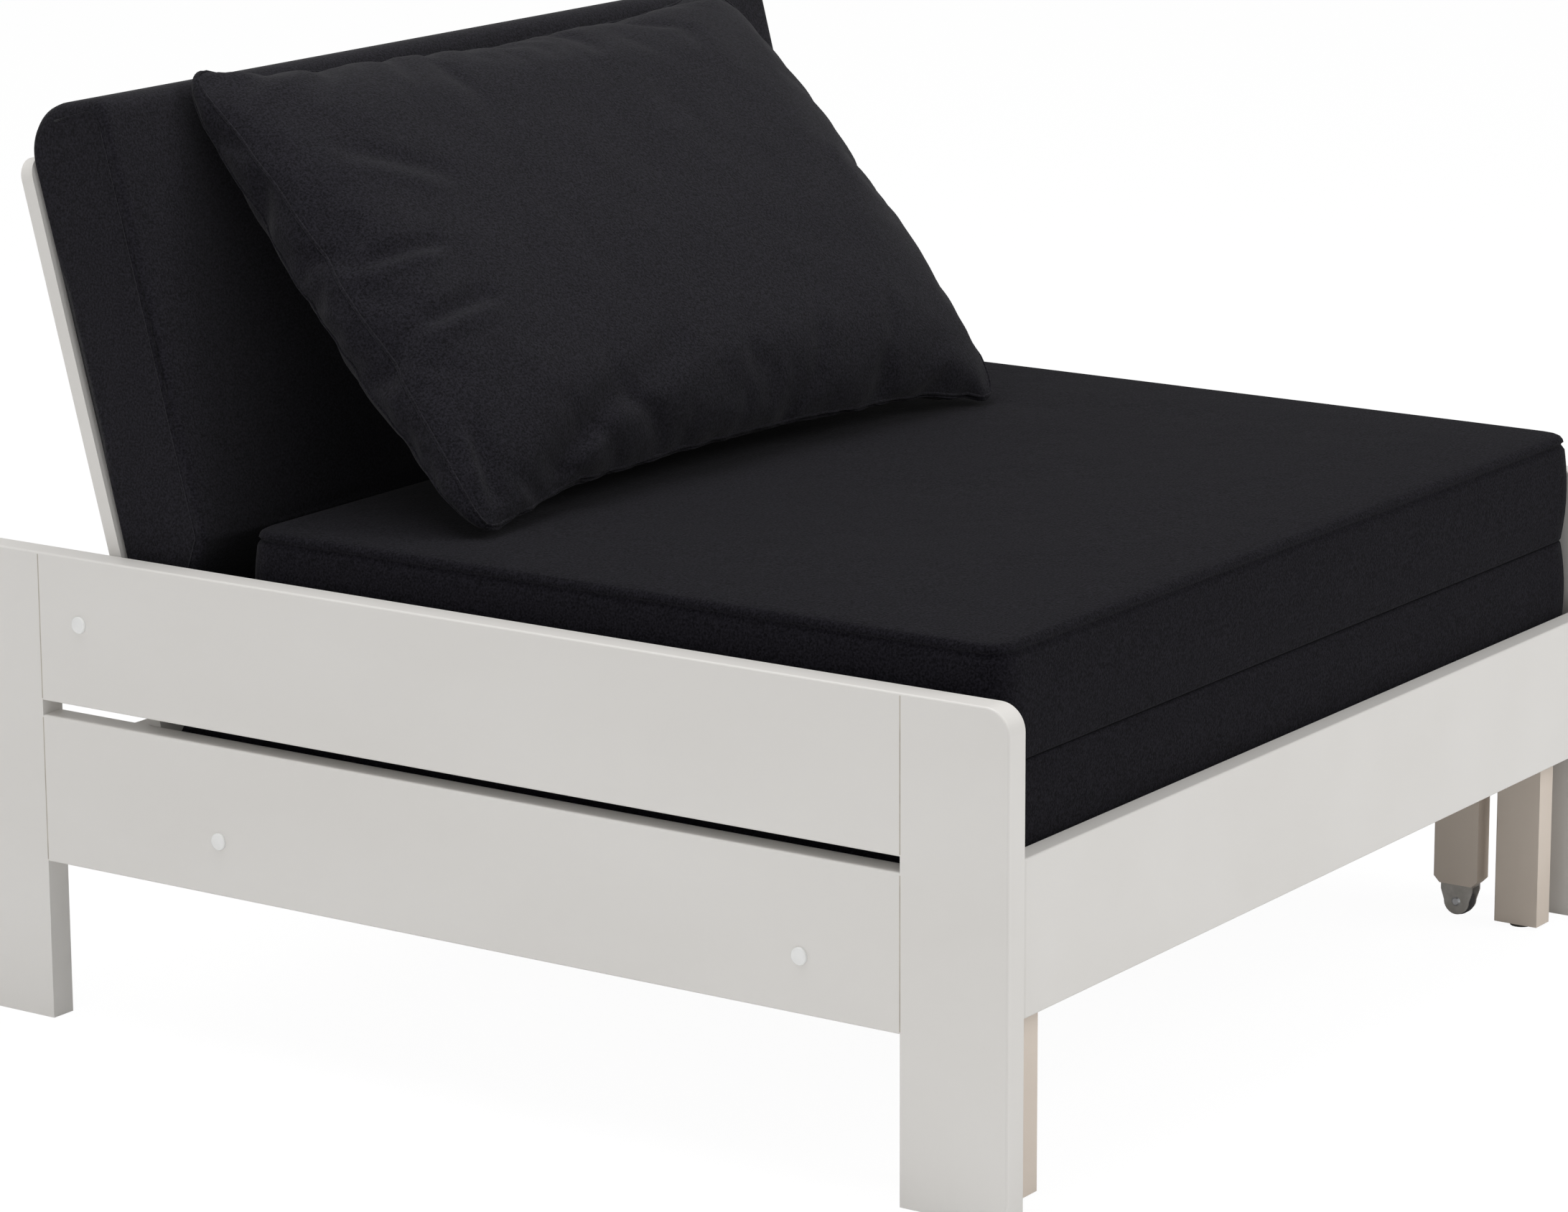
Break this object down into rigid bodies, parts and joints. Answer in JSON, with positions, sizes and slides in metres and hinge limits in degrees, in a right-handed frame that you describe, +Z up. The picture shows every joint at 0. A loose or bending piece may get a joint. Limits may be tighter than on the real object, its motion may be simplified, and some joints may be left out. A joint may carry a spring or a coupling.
{
  "type": "convertible chair bed",
  "caption": "One-seat chair bed: white wooden side frames, pull-out slatted base on castors, fold-over mattress, leaning back cushion and loose pillow.",
  "frame": {"origin": "on the floor under the middle of the bounding box", "axes": "+Z up, the seat faces -Y, +X to the right as seen from behind the front edge looking to +Y"},
  "size_m": [1.0448, 1.088, 0.8249],
  "materials": {
    "white_painted_wood": "satin paint",
    "bare_wood": "raw",
    "dark_fabric": "matte weave",
    "zinc_steel": "zinc plated",
    "grey_steel": "satin",
    "grey_plastic": "matte",
    "grey_tread": "matte",
    "white_plastic": "gloss",
    "felt": "felt",
    "grip_tape": "brushed loops"
  },
  "bodies": {
    "frame": {"left_front_leg": "white_painted_wood", "left_rear_leg": "white_painted_wood", "left_lower_board": "white_painted_wood", "left_upper_board": "white_painted_wood", "right_front_leg": "white_painted_wood", "right_rear_leg": "white_painted_wood", "right_lower_board": "white_painted_wood", "right_upper_board": "white_painted_wood", "frame_dowels": "bare_wood", "cross_rail_bolts": "zinc_steel", "bolt_caps": "white_plastic", "barrel_nuts": "zinc_steel", "fixed_slats": "white_painted_wood", "fixed_slat_screws": "zinc_steel", "front_cross_rail": "white_painted_wood", "rear_cross_rail": "white_painted_wood", "backrest_cross_rail": "white_painted_wood", "backrest_panel": "white_painted_wood", "backrest_foot_batten": "white_painted_wood", "back_cushion_grip_tapes": "grip_tape", "seat_lower_cushion": "dark_fabric", "back_cushion": "dark_fabric"},
    "front_trestle": {"front_rail": "white_painted_wood", "left_front_post": "white_painted_wood", "right_front_post": "white_painted_wood", "post_glides": "felt", "front_ledger": "white_painted_wood", "front_slats": "white_painted_wood", "front_slat_screws": "zinc_steel"},
    "castor_trestle": {"left_castor_leg": "white_painted_wood", "right_castor_leg": "white_painted_wood", "left_castor_bracket": "grey_steel", "right_castor_bracket": "grey_steel", "left_castor_axle": "zinc_steel", "right_castor_axle": "zinc_steel", "middle_rail": "white_painted_wood", "middle_slats": "white_painted_wood", "middle_slat_screws": "zinc_steel"},
    "left_castor": {"left_castor_wheel": "grey_plastic", "left_castor_tyre": "grey_tread"},
    "right_castor": {"right_castor_wheel": "grey_plastic", "right_castor_tyre": "grey_tread"},
    "folding_layer": {"seat_upper_cushion": "dark_fabric"},
    "loose_pillow": {"pillow": "dark_fabric"}
  },
  "joints": [
    {"name": "pull_out", "type": "slide", "parent": "frame", "child": "front_trestle", "axis": [0, -1, 0], "range_m": [0, 0.78]},
    {"name": "castor_follow", "type": "slide", "parent": "frame", "child": "castor_trestle", "axis": [0, -1, 0], "range_m": [0, 0.39]},
    {"name": "unfold", "type": "hinge", "parent": "frame", "child": "folding_layer", "pos_m": [0, -0.51755, 0.36035], "axis": [1, 0, 0], "range_deg": [0, 180], "deforming": ["pillow"]},
    {"name": "pillow_settle", "type": "slide", "parent": "frame", "child": "loose_pillow", "axis": [0, -0.3584, -0.9336], "range_m": [0, 0.1085]},
    {"name": "left_castor_roll", "type": "hinge", "parent": "castor_trestle", "child": "left_castor", "pos_m": [-0.447, -0.4325, 0.0135], "axis": [1, 0, 0], "continuous": true},
    {"name": "right_castor_roll", "type": "hinge", "parent": "castor_trestle", "child": "right_castor", "pos_m": [0.447, -0.4325, 0.0135], "axis": [1, 0, 0], "continuous": true}
  ],
  "couplings": [
    {"joint": "castor_follow", "follows": "pull_out", "ratio": 0.5},
    {"joint": "unfold", "follows": "pull_out", "rad_per_m": 4.0277},
    {"joint": "pillow_settle", "follows": "pull_out", "ratio": 0.1391}
  ]
}
